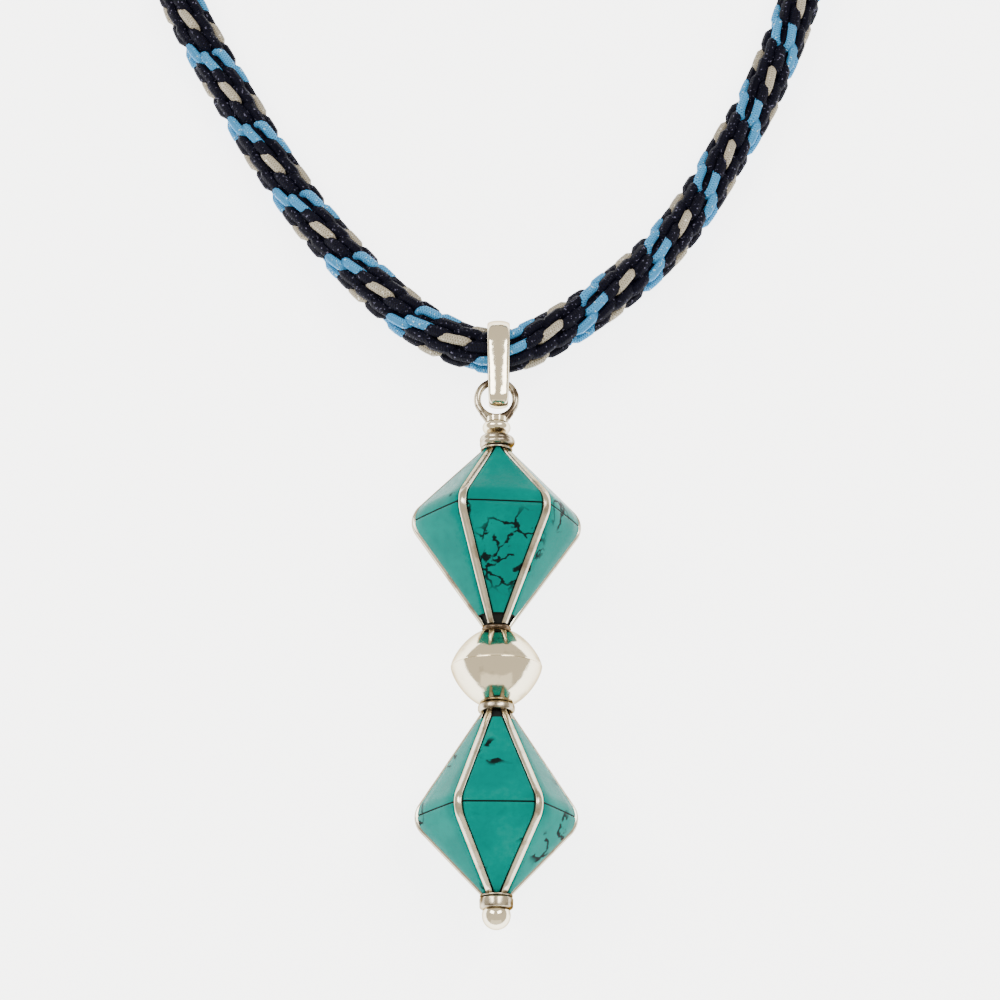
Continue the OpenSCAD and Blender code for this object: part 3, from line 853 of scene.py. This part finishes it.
def neck_winding():
    """Wire wound nearly two and a half times round a sleeve, with its end tucked in."""
    low, high = span("neck_wrap")
    wire = 0.42
    turns = np.linspace(0, 2.4 * 2 * math.pi, 150)
    facing = turns + 0.6
    share = turns / turns[-1]
    swing = (high - low) / 2 - wire
    height = (low + high) / 2 + swing * np.cos(turns * 0.5 + 0.9)
    tuck = 0.25 * np.clip((share - 0.85) / 0.15, 0, 1)
    out = WRAP_R - wire - 0.16 * (1 - np.sin(facing)) / 2 - tuck
    line = np.stack([out * np.sin(facing), height, AXIS_Z + out * np.cos(facing)], axis=1)
    winding = grown(curve_object("winding", [line]), WIRE, "winding",
                    Radius=wire * MM, Sides=14, Material=SILVER_WORN)
    outline = ring_outline(1.15, PIN_R, high - low - 0.1, 0.2)
    sleeve = revolve("sleeve", outline, low + 0.05, SILVER_WORN)
    piece = join_meshes("neck_winding", [winding, sleeve])
    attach(piece, "shaft")
    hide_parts("neck_wrap")


def neck_ball():
    """Small round bead between the eye's roots and the winding."""
    low, high = span("neck_ball")
    mid, half = (low + high) / 2, (high - low) / 2
    outline = [(PIN_R, -half)] + [(0.72 + 0.70 * math.cos(a), half * math.sin(a))
                                  for a in np.linspace(-math.pi / 2, math.pi / 2, 17)] + [(PIN_R, half)]
    piece = revolve("neck_button", outline, mid, SILVER_BRIGHT)
    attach(piece, "shaft")
    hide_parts("neck_ball")


def finial():
    """Cup and ball that close the lower end of the pin."""
    low, high = span("finial_cup")
    height = high - low
    cup = ([(PIN_R, 0), (1.36, 0)] + arc2(1.42, 0.28, 0.2, -60, 0, 4)
           + [(1.62, 0.45), (1.64, height - 0.25)]
           + arc2(1.44, height - 0.2, 0.2, 0, 90, 4) + [(PIN_R, height)])
    piece = revolve("finial_cup_turned", cup, low, SILVER_WORN)
    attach(piece, "shaft")
    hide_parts("finial_cup")
    low, high = span("finial_ball")
    cut = math.degrees(math.asin((high - low - BALL_R) / BALL_R))
    ball = [(0.0, 0.0)] + arc2(0, BALL_R, BALL_R, -86, cut, 26) + [(0.0, high - low)]
    piece = revolve("finial_ball_turned", ball, low, SILVER_BRIGHT)
    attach(piece, "shaft")
    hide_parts("finial_ball")


eye_and_pin()
neck_winding()
neck_ball()
finial()


# ---------------------------------------------------------------- bail

def bail():
    """A flat band bent round a big and a small end, its outside a little domed."""
    reach, small, big, thick, wide, shift = 5.6, 0.75, 2.5, 0.55, 2.3, 0.2
    tilt = math.atan2(BAIL_Z - AXIS_Z, reach)
    length = math.hypot(reach, BAIL_Z - AXIS_Z)
    turn = math.degrees(math.acos((small - big) / length))
    middle = thick / 2
    path = (arc2(length, 0, big + middle, -turn, turn, 40)
            + arc2(0, 0, small + middle, turn, 360 - turn, 24))
    outward = arc2(0, 0, 1, -turn, turn, 40) + arc2(0, 0, 1, turn, 360 - turn, 24)
    half, t = wide / 2, thick / 2
    crown = [(half * math.sin(math.radians(a)), t - 0.36 * (1 - math.cos(math.radians(a))))
             for a in range(84, -85, -12)]
    profile = ([(-half + 0.2, -t), (half - 0.2, -t), (half - 0.05, -t + 0.06), (half, -t + 0.18)]
               + crown + [(-half, -t + 0.18), (-half + 0.05, -t + 0.06)])
    points = []
    small_y = BAIL_Y - reach
    for (a, b), (na, nb) in zip(path, outward):
        taper = 0.84 + 0.16 * min(1, max(0, (a + small) / (0.6 * length)))
        for x, n in profile:
            along, rise = a + na * n, b + nb * n
            points.append((shift + x * taper,
                           small_y + along * math.cos(tilt) - rise * math.sin(tilt),
                           AXIS_Z + along * math.sin(tilt) + rise * math.cos(tilt)))
    faces = loft_faces(len(path), len(profile), closed=True)
    band = mesh_object("bail_band", points, faces, [SILVER_BRIGHT])
    piece = keep_creases(point_outward(band), 35)
    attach(piece, "bail")
    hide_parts("bail")


bail()


# ---------------------------------------------------------------- finishes on the frame's own nodes

def finish_node(node, mat):
    """Give a node of the frame its material."""
    obj = bpy.data.objects[node]
    if not obj.material_slots:
        obj.data.materials.append(mat)
    for place in obj.material_slots:
        place.material = mat


for wheel_name in ("upper", "lower"):
    finish_node(f"{wheel_name}_core", GLUE)
    finish_node(f"{wheel_name}_bush", BRASS)
for cap_name in ("eye_cap", "hook_cap"):
    finish_node(cap_name, SILVER_WORN)


# ---------------------------------------------------------------- table and light

def table():
    """A pale, evenly lit surface that the pendant lies on."""
    mat, shader, place = material("table_white", Roughness=0.6, Specular_IOR_Level=0.2,
                                  Emission_Strength=4.2)
    cloud = noise(place, 0.004, 2)
    feed(mat, shader,
         Base_Color=cloud.mix((0.80, 0.80, 0.81), (0.84, 0.84, 0.845)),
         Emission_Color=cloud.mix((0.95, 0.96, 0.975), (0.98, 0.99, 1.0)))
    wide = 1500
    corners = [(-wide, -wide, 0), (wide, -wide, 0), (wide, wide, 0), (-wide, wide, 0)]
    top = mesh_object("table_top", corners, [(0, 1, 2, 3)], [mat])


def softbox(name, place, aim, size, power, colour):
    """A rectangular light at a place, turned towards another."""
    data = bpy.data.lights.new(name, "AREA")
    data.shape = "RECTANGLE"
    data.size, data.size_y = size[0] * MM, size[1] * MM
    data.energy = power
    data.color = colour
    lamp = bpy.data.objects.new(name, data)
    bpy.context.scene.collection.objects.link(lamp)
    lamp.location = Vector(place) * MM
    way = (Vector(aim) - Vector(place)).normalized()
    lamp.rotation_euler = way.to_track_quat("-Z", "Y").to_euler()


table()
softbox("left_box", (-190, 90, 290), (0, 0, 0), (120, 200), 0.85, (1, 0.98, 0.95))
softbox("right_box", (150, 80, 310), (0, 0, 0), (110, 200), 0.75, (1, 0.98, 0.95))
softbox("front_wall", (0, -380, 150), (0, 0, 20), (600, 230), 0.3, (1, 0.94, 0.78))

world = bpy.data.worlds.new("studio")
bpy.context.scene.world = world
world.use_nodes = True
world.node_tree.nodes["Background"].inputs["Color"].default_value = (0.95, 0.86, 0.70, 1)
world.node_tree.nodes["Background"].inputs["Strength"].default_value = 1.15
